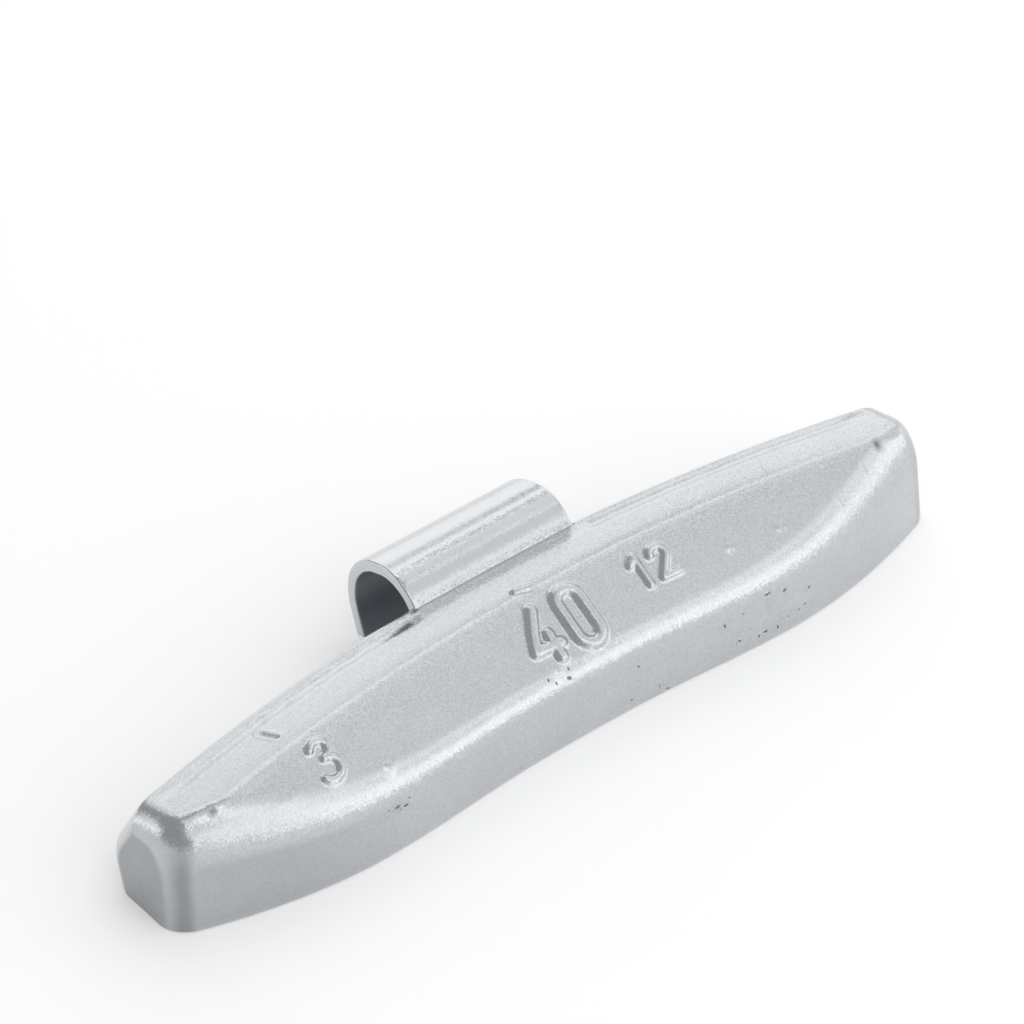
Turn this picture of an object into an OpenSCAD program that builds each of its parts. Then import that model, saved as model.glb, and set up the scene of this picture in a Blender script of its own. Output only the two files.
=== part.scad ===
// Clip-on balance weight of 40 g for a car wheel: a zinc bar, cast round the root of a
// steel spring clip. It lies on its back as on a bench. X runs along the rim, Y points out
// from the wheel's axle and Z away from the wheel. The origin is the middle of the flat back.

/* [Cast bar] */
// Length over the two end faces
body_len = 66.6; // [60:0.2:90]
// Width of the flat back at the middle of the length
back_w = 12.9; // [11.5:0.1:14.5]
// Radius of the rim's arc, which the ridge and the far side follow
rim_r = 139; // [120:1:220]
// Height of the ridge where the marked face and the bevel would meet
ridge_h = 8.9; // [8.3:0.05:9.6]
// How far the ridge lies beyond the middle of the back
ridge_y = -0.15; // [-0.9:0.05:0.6]
// Slope of the marked face, down from the ridge to the near side, in degrees
face_angle = 29; // [24:1:32]
// Slope of the bevel, down from the ridge to the far side, in degrees
bevel_angle = 15.5; // [12:0.5:19]

/* [Near side] */
// How far the two lobes stand out beyond the waist between them
lobe_out = 0.8; // [0.3:0.05:1.4]
// Distance of each lobe from the middle of the length
lobe_at = 18.2; // [15:0.1:21]
// How far the end corners lie inside the waist
end_in = 2.25; // [1.2:0.05:2.8]
// Draft of the near wall, in degrees
near_draft = 4.5; // [2:0.5:8]

/* [Far side] */
// How far the far wall swells out beyond the back, to fill the curl of the rim
swell_out = 1.05; // [0.8:0.05:1.2]
// Height of that swelling above the back
swell_h = 2.8; // [2.2:0.05:3.2]
// Lean of the far wall above the swelling, in degrees
far_lean = 29; // [24:1:32]

// Width of the level ledge that the die's parting line leaves beside the far shoulder
ledge_w = 0.6; // [0.5:0.05:0.9]
// Width over which the bevel rounds down to that ledge
ledge_fall = 1.4; // [1:0.1:1.8]
// Slope of the ledge, down to the far shoulder, in degrees
ledge_slope = 2.5; // [0:0.5:6]
// How far the flat seat for the rim's lip, behind the clip, stands out beyond the back
seat_out = 0.4; // [0.3:0.05:0.7]
// How far that seat runs past the strip on each side
seat_margin = 1.2; // [0.8:0.1:2]

/* [Rounded edges] */
// Radius of the near top edge at the waist
near_top_r = 2.3; // [2:0.1:2.7]
// Radius of the near top edge at the two ends
near_end_r = 2.1; // [1.8:0.1:2.5]
// How far the ridge is rounded down, below the line where its two faces would meet
ridge_soft = 0.12; // [0.05:0.01:0.25]
// Radius of the far shoulder
shoulder_r = 0.6; // [0.4:0.05:1]
// Radius of the swelling
swell_r = 2.3; // [1.4:0.1:2.8]
// Radius of the two long edges of the back
back_edge_r = 0.3; // [0.2:0.05:0.5]
// Radius of the upright and top edges of the end faces
end_r = 1.15; // [0.8:0.05:1.4]
// Draft of the end faces, in degrees
end_draft = 2.5; // [1:0.5:4]

/* [Spring clip] */
// Width of the steel strip
clip_w = 14; // [11:0.1:18]
// Thickness of the strip
clip_t = 0.9; // [0.8:0.05:1]
// Inner radius of the arch that goes over the rim's lip
arch_r = 3.95; // [3.9:0.05:4.4]
// How far the arch's centre lies below the ridge
arch_below = 4.9; // [4.6:0.05:5.1]
// Distance of the arch's centre beyond the middle of the back
arch_y = 7.5; // [7.4:0.05:8]
// Shift of the clip along the bar, off the middle of its length
clip_shift = 0.7; // [-2:0.05:2]
// Slope of the crown, down from the bar towards the arch, in degrees
crown_slope = 21.5; // [17:0.5:26]
// Length of the straight part of the crown
crown_len = 0.7; // [0.5:0.05:0.9]
// Inner radius of the bend between the crown and the root
root_bend_r = 2.65; // [2.4:0.05:2.9]
// Lean of the root inside the bar, in degrees from upright
root_lean = 27.5; // [24:0.5:31]
// Height above the back at which the root's centre line ends
root_h = 1.9; // [1.6:0.1:2.6]
// Inward lean of the free leg, in degrees from upright
leg_lean = 20; // [14:1:24]
// Height above the back at which the free leg's centre line ends
tip_h = 0.4; // [0.3:0.05:1.2]
// How much is clipped off each corner of the free leg, measured along its edges
tip_cut = 0.3; // [0.2:0.05:1.5]
// Diameter of the two holes in the root, through which the zinc runs
lock_hole_d = 2.5; // [2:0.1:3]
// Distance between those two holes
lock_hole_gap = 7.6; // [6:0.1:8.5]

/* [Hidden] */

$fn = 48;
half_len = body_len / 2;
half_w = back_w / 2;
arch_h = ridge_h - arch_below;
// Steps between the sections along the bar, and in each of its two rounded ends
bar_steps = 52;
// How much closer the sections stand towards the ends, where the shape turns quickest
crowding = 0.25;
end_steps = 5;
// Steps in the near top edge, the marked face with the bevel, each smaller edge and the
// fall to the ledge
near_steps = 6;
top_steps = 9;
edge_steps = 3;
ledge_steps = 4;
// Powers that flatten the waist between the lobes and round the ends beyond them
waist_power = 1.4;
end_power = 1.9;
// How far down the root its locking holes sit, as a share of the root's length
lock_hole_share = 0.62;
// Degrees between the points of the strip's bends
strip_step = 6;
// How strongly, and from how far, the points of the top gather at the ridge
ridge_pull = 0.5;
ridge_reach = 0.9;
tiny = 0.02;

// How far the rim's arc has dropped, at x along the bar
function arc_drop(x) = rim_r - sqrt(rim_r * rim_r - x * x);

// Near edge of the back: half waves from the waist out to the lobes, then round to the ends
function near_edge(x) =
    let(a = abs(x))
    a < lobe_at
        ? -half_w - lobe_out * pow((1 - cos(180 * a / lobe_at)) / 2, waist_power)
        : -half_w - lobe_out
            + (lobe_out + end_in) * pow((a - lobe_at) / (half_len - lobe_at), end_power);

// Radius of the near top edge, which changes towards the ends
function near_r(x) =
    near_top_r + (near_end_r - near_top_r) * pow(min(abs(x) / half_len, 1), 3);

// A step in a direction, and a step square to it on its right, which is into the section
function along(h) = [cos(h), sin(h)];
function inward(h) = [sin(h), -cos(h)];

// Where two lines cross, each given by a point and a heading
function cross_at(p, hp, q, hq) =
    let(d = q - p, s = (d[0] * sin(hq) - d[1] * cos(hq)) / sin(hq - hp))
    p + s * along(hp);

// Points of the arc that rounds corner p, between headings h1 and h2, which turn right
function round_off(p, h1, h2, r, steps) =
    let(start = p - r * tan((h1 - h2) / 2) * along(h1), centre = start + r * inward(h1))
    [for (i = [0:steps]) centre - r * inward(h1 + (h2 - h1) * i / steps)];

// Height of the marked face and the bevel, melted into each other at the ridge
function top_z(y, inset) =
    let(
        face = ridge_h + (y - ridge_y) * tan(face_angle) - inset / cos(face_angle),
        bevel = ridge_h - (y - ridge_y) * tan(bevel_angle) - inset / cos(bevel_angle),
        half_gap = (face - bevel) / 2
    )
    (face + bevel) / 2 - sqrt(half_gap * half_gap + ridge_soft * ridge_soft);

function top_slope(y, inset) =
    atan((top_z(y + tiny, inset) - top_z(y - tiny, inset)) / (2 * tiny));

// How far the ledge lies below the bevel, at a distance inside the shoulder: a wedge that
// fades out over the fall, with level ends
function ledge_drop(inside) =
    let(t = min(max((inside - ledge_w) / ledge_fall, 0), 1))
    inside * (tan(bevel_angle) - tan(ledge_slope)) * (1 - t * t * (3 - 2 * t));

// Centre of the ball of radius r that touches the top from below at y
function ball_centre(y, r, inset) =
    [y, top_z(y, inset)] + r * inward(top_slope(y, inset));

// The y at which that ball touches the near wall too, by halving the span from lo to hi
function touch_y(foot, r, inset, lo, hi, left) =
    let(
        mid = (lo + hi) / 2,
        c = ball_centre(mid, r, inset),
        clear = (c[0] - foot - c[1] * tan(near_draft)) * cos(near_draft) - r
    )
    left == 0 ? mid
        : clear > 0 ? touch_y(foot, r, inset, lo, mid, left - 1)
        : touch_y(foot, r, inset, mid, hi, left - 1);

// One section at x, drawn in by inset, as points from the near edge of the back, up the
// near wall, over the ridge and down the far wall. Its arc_drop is added at the end.
function section(x, inset) =
    let(
        drop = arc_drop(x),
        wall_h = 90 - near_draft,
        far_h = far_lean - 90,
        under_h = -90 - atan(swell_out / swell_h),
        foot = near_edge(x) + drop + inset / cos(near_draft),
        r = max(near_r(x) - inset, tiny),
        y0 = touch_y(foot, r, inset, foot, foot + half_w + 2 * r, 24),
        ball = ball_centre(y0, r, inset),
        top_h = top_slope(y0, inset),
        swell = [half_w + swell_out - inset, swell_h],
        corner = [half_w - inset, 0],
        ridge = [ridge_y, ridge_h] + inset * inward(-bevel_angle),
        shoulder = cross_at(ridge, -bevel_angle, swell, far_h),
        shoulder_arc = round_off(shoulder, -ledge_slope, far_h,
            max(shoulder_r - inset, tiny), edge_steps),
        y1 = shoulder[0] - ledge_w - ledge_fall,
        points = concat(
            round_off([foot, 0], 180, wall_h, back_edge_r, edge_steps),
            [for (i = [0:near_steps])
                ball - r * inward(wall_h + (top_h - wall_h) * i / near_steps)],
            [for (i = [1:top_steps - 1])
                let(
                    even = y0 + (y1 - y0) * i / top_steps,
                    pull = ridge_pull * exp(-pow((even - ridge_y) / ridge_reach, 2)),
                    y = even + pull * (max(ridge_y, y0) - even)
                )
                [y, top_z(y, inset)]],
            [for (i = [0:ledge_steps])
                let(y = y1 + ledge_fall * i / ledge_steps)
                [y, top_z(y, inset) - ledge_drop(shoulder[0] - y)]],
            shoulder_arc,
            round_off(swell, far_h, under_h, swell_r, edge_steps + 1),
            round_off(corner, under_h, -180, back_edge_r, edge_steps)
        )
    )
    [for (p = points) [x * (1 - p[1] * tan(end_draft) / half_len), p[0] - drop, p[1]]];

// Where the sections stand along the bar, and how far each is drawn in: the bar itself,
// then a quarter round at each end
stations = concat(
    [for (i = [end_steps:-1:1])
        let(a = 90 * i / end_steps)
        [-half_len + end_r * (1 - sin(a)), end_r * (1 - cos(a))]],
    [for (i = [0:bar_steps])
        let(share = 2 * i / bar_steps - 1)
        [(half_len - end_r) * (share + crowding * (share - pow(share, 3))), 0]],
    [for (i = [1:end_steps])
        let(a = 90 * i / end_steps)
        [half_len - end_r * (1 - sin(a)), end_r * (1 - cos(a))]]
);

// Solid skin over a list of sections that all have the same number of points
module loft(sections) {
    n = len(sections[0]);
    last = len(sections) - 1;
    polyhedron(
        points = [for (s = sections) for (p = s) p],
        faces = concat(
            [[for (j = [n - 1:-1:0]) j]],
            [for (i = [0:last - 1]) for (j = [0:n - 1])
                let(k = (j + 1) % n, a = i * n, b = a + n)
                for (f = [[a + j, a + k, b + k], [a + j, b + k, b + j]]) f],
            [[for (j = [0:n - 1]) last * n + j]]
        ),
        convexity = 6
    );
}

// Places along the middle of the strip: the arch, the crown, the bend and the root
mid_r = arch_r + clip_t / 2;
arch_centre = [arch_y, arch_h];
arch_start = arch_centre + mid_r * along(90 - crown_slope);
arch_end = arch_centre + mid_r * along(-leg_lean);
leg_heading = -90 - leg_lean;
tip = arch_end + (arch_end[1] - tip_h) / cos(leg_lean) * along(leg_heading);
bend_mid_r = root_bend_r + clip_t / 2;
bend_centre = arch_start - crown_len * along(-crown_slope) + bend_mid_r * inward(-crown_slope);
root_heading = 90 - root_lean;
root_top = bend_centre - bend_mid_r * inward(root_heading);
root_len = (root_top[1] - root_h) / sin(root_heading);
root_end = root_top - root_len * along(root_heading);
lock_hole_at = root_top - root_len * lock_hole_share * along(root_heading);

// One face of the strip as points from the root to the tip, off the middle line by a
// distance that is positive on the outer face
function strip_face(off) = concat(
    [root_end - off * inward(root_heading)],
    arc(bend_centre, bend_mid_r + off, 90 + root_heading, 90 - crown_slope),
    arc(arch_centre, mid_r + off, 90 - crown_slope, -leg_lean),
    [tip - off * inward(leg_heading)]
);

// Points of an arc round a centre, one every few degrees
function arc(centre, r, from, to) =
    let(steps = ceil(abs(to - from) / strip_step))
    [for (i = [0:steps]) centre + r * along(from + (to - from) * i / steps)];

// The steel strip, bent and cut to length
module strip() {
    outer = strip_face(clip_t / 2);
    inner = strip_face(-clip_t / 2);
    translate([clip_shift - clip_w / 2, 0, 0]) rotate([90, 0, 90]) linear_extrude(clip_w)
        polygon(concat(outer, [for (i = [len(inner) - 1:-1:0]) inner[i]]));
}

// Locking hole through the root, on one side of its middle
module lock_hole(side) {
    translate([clip_shift + side * lock_hole_gap / 2, lock_hole_at[0], lock_hole_at[1]])
        rotate([90 - root_lean, 0, 0]) cylinder(d = lock_hole_d, h = 4 * clip_t, center = true);
}

// What is clipped off one corner of the free leg
module tip_clipping(side) {
    translate([clip_shift + side * clip_w / 2, tip[0], tip[1]])
        rotate([-leg_lean, 0, 0]) rotate([0, 45, 0])
            cube([tip_cut * sqrt(2), 4 * clip_t, tip_cut * sqrt(2)], center = true);
}

module spring_clip() {
    color("silver") difference() {
        strip();
        for (side = [-1, 1]) {
            lock_hole(side);
            tip_clipping(side);
        }
    }
}

// What is cut off the far wall to leave the flat seat
module seat_cut() {
    seat_w = clip_w + 2 * seat_margin;
    translate([clip_shift - seat_w / 2, half_w + seat_out, -ridge_h])
        cube([seat_w, back_w, 3 * ridge_h]);
}

module weight_body() {
    color("lightgray") difference() {
        loft([for (s = stations) section(s[0], s[1])]);
        seat_cut();
        spring_clip();
    }
}

weight_body();
spring_clip();
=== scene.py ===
# %% [markdown]
# # A clip-on balance weight
#
# A balance weight is a small zinc bar with a steel spring clip. The clip goes over the lip
# of a wheel's rim, and the bar's mass evens out the wheel. The CAD model, loaded first,
# holds the two solids at their real size, lying on the bar's flat back. This lesson gives
# both the look of the real thing: silver paint under a clear coat, over rough cast zinc and
# over smooth sheet steel.

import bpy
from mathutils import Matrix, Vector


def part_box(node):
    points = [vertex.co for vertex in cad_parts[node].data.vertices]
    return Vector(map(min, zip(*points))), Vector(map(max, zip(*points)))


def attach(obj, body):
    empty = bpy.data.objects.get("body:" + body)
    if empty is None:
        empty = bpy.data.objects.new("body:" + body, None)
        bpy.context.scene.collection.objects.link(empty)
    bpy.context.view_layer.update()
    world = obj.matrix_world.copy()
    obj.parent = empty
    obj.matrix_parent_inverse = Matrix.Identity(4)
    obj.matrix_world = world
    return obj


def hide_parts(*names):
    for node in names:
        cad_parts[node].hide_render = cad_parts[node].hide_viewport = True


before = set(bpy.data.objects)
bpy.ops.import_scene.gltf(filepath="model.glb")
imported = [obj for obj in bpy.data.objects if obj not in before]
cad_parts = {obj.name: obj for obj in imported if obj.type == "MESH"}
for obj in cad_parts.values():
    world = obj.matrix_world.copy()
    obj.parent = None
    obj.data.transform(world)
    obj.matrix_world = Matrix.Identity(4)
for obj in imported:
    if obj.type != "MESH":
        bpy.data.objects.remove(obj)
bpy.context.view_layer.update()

import bpy
import numpy as np
from mathutils import Matrix, Vector

MM = 0.001
for name in sorted(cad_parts):
    low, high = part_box(name)
    print(name, "spans", [round((high[i] - low[i]) / MM, 2) for i in range(3)], "mm")

# %% [markdown]
# ## The sizes of the bar
#
# The bar is one skin that runs through sections along its length. The CAD model makes it
# from a few named sizes, and the finer skin made here starts from the same ones, in
# millimetres and degrees. It departs from them in two places. The CAD's near top edge is a
# rolled ball of one size, but on the real bar it is a softer round that grows towards the
# ends: its reach goes from NEAR_REACH in the middle to END_REACH. The ends are softer too:
# each one turns in by END_R over the length END_LEN, and its top comes down by END_TOP. A
# rounder end looks shorter, so the bar is a third of a millimetre longer than the solid.

# %% Sizes of the bar
BODY_LEN, BACK_W, RIM_R = 66.95, 12.9, 139.0
RIDGE_H, RIDGE_Y = 8.9, -0.15
FACE_ANGLE, BEVEL_ANGLE = 29.0, 15.5
LOBE_OUT, LOBE_AT, END_IN = 0.8, 18.2, 2.25
NEAR_DRAFT, END_DRAFT = 4.5, 2.5
SWELL_OUT, SWELL_H, FAR_LEAN = 1.05, 2.8, 29.0
WAIST_POWER, END_POWER, REACH_POWER = 1.4, 1.9, 2.5
NEAR_REACH, END_REACH, LEAST_REACH, RIDGE_SOFT = 1.05, 2.6, 0.3, 0.22
SHOULDER_R, SWELL_R, BACK_EDGE_R = 0.6, 2.3, 0.3
END_LEN, END_R, END_TOP = 1.75, 1.3, 1.7
SEAT_OUT, SEAT_MARGIN = 0.4, 1.2
CLIP_W, CLIP_T, CLIP_SHIFT = 14.0, 0.9, 0.7
HALF_LEN, HALF_W = BODY_LEN / 2, BACK_W / 2
print("bar of", BODY_LEN, "x", BACK_W, "mm on an arc of", RIM_R, "mm")

# %% [markdown]
# ## How a section is drawn
#
# A section is a closed outline of short curves: the near wall, a round near top edge, the
# sloping face with the numerals, a soft ridge, the bevel, the far shoulder and the far wall
# that swells into the curl of the rim. Each curve is worked out for all sections at once,
# as an array with one row for each section.


# %% Small geometry helpers
def sine(degrees):
    return np.sin(np.radians(degrees))


def cosine(degrees):
    return np.cos(np.radians(degrees))


def tangent(degrees):
    return np.tan(np.radians(degrees))


def along(heading):
    """A step of one millimetre in a heading: its cosine and its sine."""
    return np.stack([cosine(heading), sine(heading)], -1)


def inward(heading):
    """A step square to the heading, on its right, which is into the section."""
    return np.stack([sine(heading), -cosine(heading)], -1)


def smooth_step(t):
    """Goes from 0 to 1 with level ends: three t squared less two t cubed."""
    t = np.clip(t, 0, 1)
    return t * t * (3 - 2 * t)


def soft_max(a, b, width):
    """The larger of two values, rounded where they meet: their mean plus the root of half
    their gap squared and the width squared."""
    return (a + b) / 2 + np.sqrt(((a - b) / 2) ** 2 + width**2)


def crossing(p, heading_p, q, heading_q):
    """Where two lines meet: go from p along its heading until q's line is reached."""
    d = q - p
    reach = d[:, 0] * sine(heading_q) - d[:, 1] * cosine(heading_q)
    return p + (reach / sine(heading_q - heading_p))[:, None] * along(heading_p)


def round_off(corner, h1, h2, radius, steps):
    """The arc that rounds a corner: its centre less the radius times each inward step."""
    h1 = h1 + 0 * radius
    start = corner - (radius * tangent((h1 - h2) / 2))[:, None] * along(h1)
    centre = start + radius[:, None] * inward(h1)
    turn = h1[:, None] + (h2 - h1)[:, None] * np.linspace(0, 1, steps)
    return centre[:, None] - radius[:, None, None] * inward(turn)


# %% [markdown]
# ## The outline seen from above, and the top
#
# Seen from above, the near edge waves: a waist in the middle, two lobes, and ends that draw
# in. The ridge and the far side follow the arc of the rim. The top is the lower of two
# sloping planes, and a square root melts them into each other at the ridge.


# %% The near edge, the arc and the top
def arc_drop(x):
    """The sagitta of the rim's arc: its radius less the root of radius and x squared."""
    return RIM_R - np.sqrt(RIM_R**2 - x**2)


def near_edge(x):
    """Half a cosine wave out to the lobes, then a power curve that draws the ends in."""
    a = np.abs(x)
    wave = ((1 - cosine(180 * np.minimum(a / LOBE_AT, 1))) / 2) ** WAIST_POWER
    beyond = np.maximum((a - LOBE_AT) / (HALF_LEN - LOBE_AT), 0) ** END_POWER
    return -HALF_W - LOBE_OUT * wave + (LOBE_OUT + END_IN) * beyond


def top_height(y, inset):
    """The mean of both planes' heights, less the root of half their gap squared and the
    softness squared. The deeper below the surface, the softer the ridge."""
    face = RIDGE_H + (y - RIDGE_Y) * tangent(FACE_ANGLE) - inset / cosine(FACE_ANGLE)
    bevel = RIDGE_H - (y - RIDGE_Y) * tangent(BEVEL_ANGLE) - inset / cosine(BEVEL_ANGLE)
    soft = RIDGE_SOFT + 0.4 * inset
    return (face + bevel) / 2 - np.sqrt(((face - bevel) / 2) ** 2 + soft**2)


def near_round(foot, reach, inset):
    """The near top edge. Its distance from the wall is the reach times one less the cosine
    of an angle, and from the top the reach times one less its sine. The height, which the
    wall's draft depends on, settles in a few rounds."""
    angle = np.linspace(0, 90, NEAR_STEPS)
    from_wall = reach[:, None] * (1 - cosine(angle)) / cosine(NEAR_DRAFT)
    from_top = reach[:, None] * (1 - sine(angle)) + inset[:, None]
    y = foot[:, None] + from_wall
    for _ in range(8):
        z = top_height(y, from_top)
        y = foot[:, None] + from_wall + z * tangent(NEAR_DRAFT)
    return np.stack([y, z], -1)


# %% [markdown]
# ## The parting ledge
#
# The two halves of the casting die meet along the far top edge. They leave a narrow step
# there: the bevel rounds down half a millimetre and goes on as a nearly level ledge to the
# shoulder. It could be cut with a boolean, but here it only changes the height of the top
# close to the shoulder. The ledge runs out before the ends, and at the clip only a quarter
# of its depth is left, because the zinc closes on the strip there.

# %% The height that the ledge takes off the bevel
LEDGE_W, LEDGE_FALL, LEDGE_SLOPE = 0.6, 1.4, 2.5
# How far from the end the ledge stops, the lengths over which it runs out there and at the
# clip, and the share of it that is left at the clip.
LEDGE_END, LEDGE_RUN_OUT, CLIP_RUN_OUT, AT_CLIP = 1.2, 3.5, 1.2, 0.25


def ledge_drop(inside):
    """Depth below the bevel at a distance inside the shoulder: the wedge between the
    bevel and the ledge, faded out by a smooth step over the fall."""
    wedge = inside * (tangent(BEVEL_ANGLE) - tangent(LEDGE_SLOPE))
    return wedge * (1 - smooth_step((inside - LEDGE_W) / LEDGE_FALL))


def ledge_share(x):
    """How much of the ledge is there: a smooth step up from each end, and a smooth step
    down to a quarter at the clip."""
    from_end = smooth_step((HALF_LEN - LEDGE_END - np.abs(x)) / LEDGE_RUN_OUT)
    to_clip = CLIP_W / 2 + CLIP_RUN_OUT - np.abs(x - CLIP_SHIFT)
    return from_end * (1 - (1 - AT_CLIP) * smooth_step(to_clip / CLIP_RUN_OUT))


# %% [markdown]
# ## All sections at once
#
# The parts of a section meet end to end, so each part starts where the one before it
# stops. Two details keep the ends clean. The section shrinks there, so the ridge and the
# ledge's lip are held between the near edge and the shoulder, or the skin would fold. The
# top also sinks faster than the walls turn in, so it is lifted a little towards the far
# side, by just what makes it meet the arc of the shoulder.

# %% Points on each part of a section
BACK_EDGE_STEPS, WALL_STEPS, NEAR_STEPS = 5, 20, 18
FACE_STEPS, BEVEL_STEPS, LEDGE_STEPS = 50, 16, 16
SHOULDER_STEPS, FAR_STEPS, SWELL_STEPS, BACK_STEPS = 6, 8, 9, 5


def between(start, end, steps):
    """Points on straight lines between two columns of points, without their ends."""
    t = np.linspace(0, 1, steps + 2)[1:-1]
    return start[:, None] + (end - start)[:, None] * t[:, None]


def spread(start, end, steps):
    """Even places from start to end in each row, without the start."""
    return start[:, None] + (end - start)[:, None] * np.linspace(0, 1, steps)[1:]


def top_rows(start_y, end_y, shoulder_y):
    """The y of the points on the top, close together on the face, where the numerals are,
    and on the ledge. Also returns the y at which the face gives way to the bevel. At the
    ends the ledge's lip is held past 0.6 of the way to the shoulder, and that y between
    0.45 and 0.7 of the way to the lip."""
    lip_y = shoulder_y - LEDGE_W - LEDGE_FALL
    lip_y = np.maximum(lip_y, start_y + 0.6 * (end_y - start_y))
    ridge_y = soft_max(RIDGE_Y + 1.0, start_y + 0.45 * (lip_y - start_y), 0.5)
    ridge_y = np.minimum(ridge_y, start_y + 0.7 * (lip_y - start_y))
    face_y = spread(start_y, ridge_y, FACE_STEPS)
    bevel_y = spread(ridge_y, lip_y, BEVEL_STEPS)
    ledge_y = spread(lip_y, end_y, LEDGE_STEPS)[:, :-1]
    return np.concatenate([face_y, bevel_y, ledge_y], 1), ridge_y


def top_points(y, inset, shoulder_y, kept):
    """Points on the top at the given y, less the kept share of the ledge's depth."""
    depth = kept[:, None] * ledge_drop(shoulder_y[:, None] - y)
    return np.stack([y, top_height(y, inset[:, None]) - depth], -1)


def met_top(start_y, shoulder_arc, shoulder_y, below, kept):
    """The top from the near edge to the shoulder's arc. The gap that it would leave at the
    arc is added to its height, times the square of the way from the ridge to the arc."""
    end_y, end_z = shoulder_arc[:, 0, 0], shoulder_arc[:, 0, 1]
    y, ridge_y = top_rows(start_y, end_y, shoulder_y)
    top = top_points(y, below, shoulder_y, kept)
    gap = end_z - top_points(end_y[:, None], below, shoulder_y, kept)[:, 0, 1]
    way = np.clip((y - ridge_y[:, None]) / (end_y - ridge_y)[:, None], 0, 1)
    top[..., 1] += gap[:, None] * way**2
    return top


def edge_reach(x, inset):
    """How far the round near edge reaches: more towards the ends, by a power of the way
    there, and less where the section has shrunk."""
    way = np.minimum(np.abs(x) / HALF_LEN, 1) ** REACH_POWER
    return np.maximum(NEAR_REACH + (END_REACH - NEAR_REACH) * way - 0.6 * inset, LEAST_REACH)


def bar_sections(x, inset):
    """All sections at once, in the order near edge of the back, near wall, top, far wall.
    The inset is how far the walls turn in, and the top lies below by more than that.
    Returns points as (section, point, xyz), and where on the ring each part starts."""
    rows = np.ones_like(x)
    wall_h, far_h = 90 - NEAR_DRAFT, FAR_LEAN - 90
    under_h = -90 - np.degrees(np.arctan(SWELL_OUT / SWELL_H))
    foot = near_edge(x) + arc_drop(x) + inset / cosine(NEAR_DRAFT)
    below = inset * END_TOP / END_R
    edge = near_round(foot, edge_reach(x, inset), below)

    swell = np.stack([HALF_W + SWELL_OUT - inset, SWELL_H * rows], -1)
    back_corner = np.stack([HALF_W - inset, 0 * rows], -1)
    ridge = np.array([RIDGE_Y, RIDGE_H]) + below[:, None] * inward(-BEVEL_ANGLE)
    shoulder = crossing(ridge, -BEVEL_ANGLE, swell, far_h)
    shoulder_r = np.maximum(SHOULDER_R - inset, 0.02)
    kept = ledge_share(x)
    slope = LEDGE_SLOPE + (1 - kept) * (BEVEL_ANGLE - LEDGE_SLOPE)
    shoulder_arc = round_off(shoulder, -slope, far_h, shoulder_r, SHOULDER_STEPS)
    top = met_top(edge[:, -1, 0], shoulder_arc, shoulder[:, 0], below, kept)

    near_corner, foot_r = np.stack([foot, 0 * rows], -1), BACK_EDGE_R * rows
    near_foot = round_off(near_corner, 180.0, wall_h, foot_r, BACK_EDGE_STEPS)
    swell_arc = round_off(swell, far_h, under_h, SWELL_R * rows, SWELL_STEPS)
    far_foot = round_off(back_corner, under_h, -180.0, foot_r, BACK_EDGE_STEPS)
    parts = [
        ("foot", near_foot),
        ("wall", between(near_foot[:, -1], edge[:, 0], WALL_STEPS)),
        ("edge", edge),
        ("top", top),
        ("shoulder", shoulder_arc),
        ("far", between(shoulder_arc[:, -1], swell_arc[:, 0], FAR_STEPS)),
        ("swell", swell_arc),
        ("far_foot", far_foot),
        ("back", between(far_foot[:, -1], near_foot[:, 0], BACK_STEPS)),
    ]
    points = np.concatenate([part for _, part in parts], 1)
    starts = dict(zip([n for n, _ in parts], np.cumsum([0] + [p.shape[1] for _, p in parts])))
    y, z = points[..., 0], points[..., 1]
    long_x = x[:, None] * (1 - z * tangent(END_DRAFT) / HALF_LEN)
    return np.stack([long_x, y - arc_drop(x)[:, None], z], -1), starts


# %% Sections along the bar, with a quarter round at each end
STEP_ALONG, END_STEPS = 0.11, 14
quarter = np.linspace(0, 90, END_STEPS)[1:]
end_x = HALF_LEN - END_LEN * (1 - sine(quarter))
end_inset = END_R * (1 - cosine(quarter))
flat_x = np.linspace(-1, 1, int(2 * (HALF_LEN - END_LEN) / STEP_ALONG)) * (HALF_LEN - END_LEN)
station_x = np.concatenate([-end_x[::-1], flat_x, end_x])
station_inset = np.concatenate([end_inset[::-1], 0 * flat_x, end_inset])
skin, ring_start = bar_sections(station_x, station_inset)
print("skin of", skin.shape[0], "sections with", skin.shape[1], "points each")

# %% [markdown]
# ## Numerals and marks in relief
#
# The weight's grams stand on the face as raised numerals with a short bar above them, and
# two small numbers beside them tell the cavities of the die apart. A text object would need
# a boolean, and its edges would be sharp. A cast numeral is soft, so each one is drawn with
# strokes: every point of the skin gets its distance to the nearest stroke, and a smooth
# step turns that distance into height. A point's place on the face is its x and its
# distance down from the ridge.


# %% Strokes and how they stand out
def line(*points):
    """A stroke through the given points, each an x and a distance down the face."""
    return np.array(points, float)


def bow(centre, reach, start, end, steps=16):
    """A stroke along an ellipse: centre plus reach times cosine and sine of the angle."""
    angle = np.linspace(start, end, steps)
    return np.array(centre) + np.stack([reach[0] * cosine(angle), -reach[1] * sine(angle)], -1)


def stroke_distance(across, down, strokes):
    """Distance from each point to the nearest stroke: to each short segment, the point's
    share along it is clamped to its ends, and the smallest of all distances counts."""
    nearest = np.full(across.shape, 99.0)
    for stroke in strokes:
        for a, b in zip(stroke[:-1], stroke[1:]):
            run = b - a
            share = ((across - a[0]) * run[0] + (down - a[1]) * run[1]) / (run @ run)
            share = np.clip(share, 0, 1)
            gap = np.hypot(across - a[0] - share * run[0], down - a[1] - share * run[1])
            nearest = np.minimum(nearest, gap)
    return nearest


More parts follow.
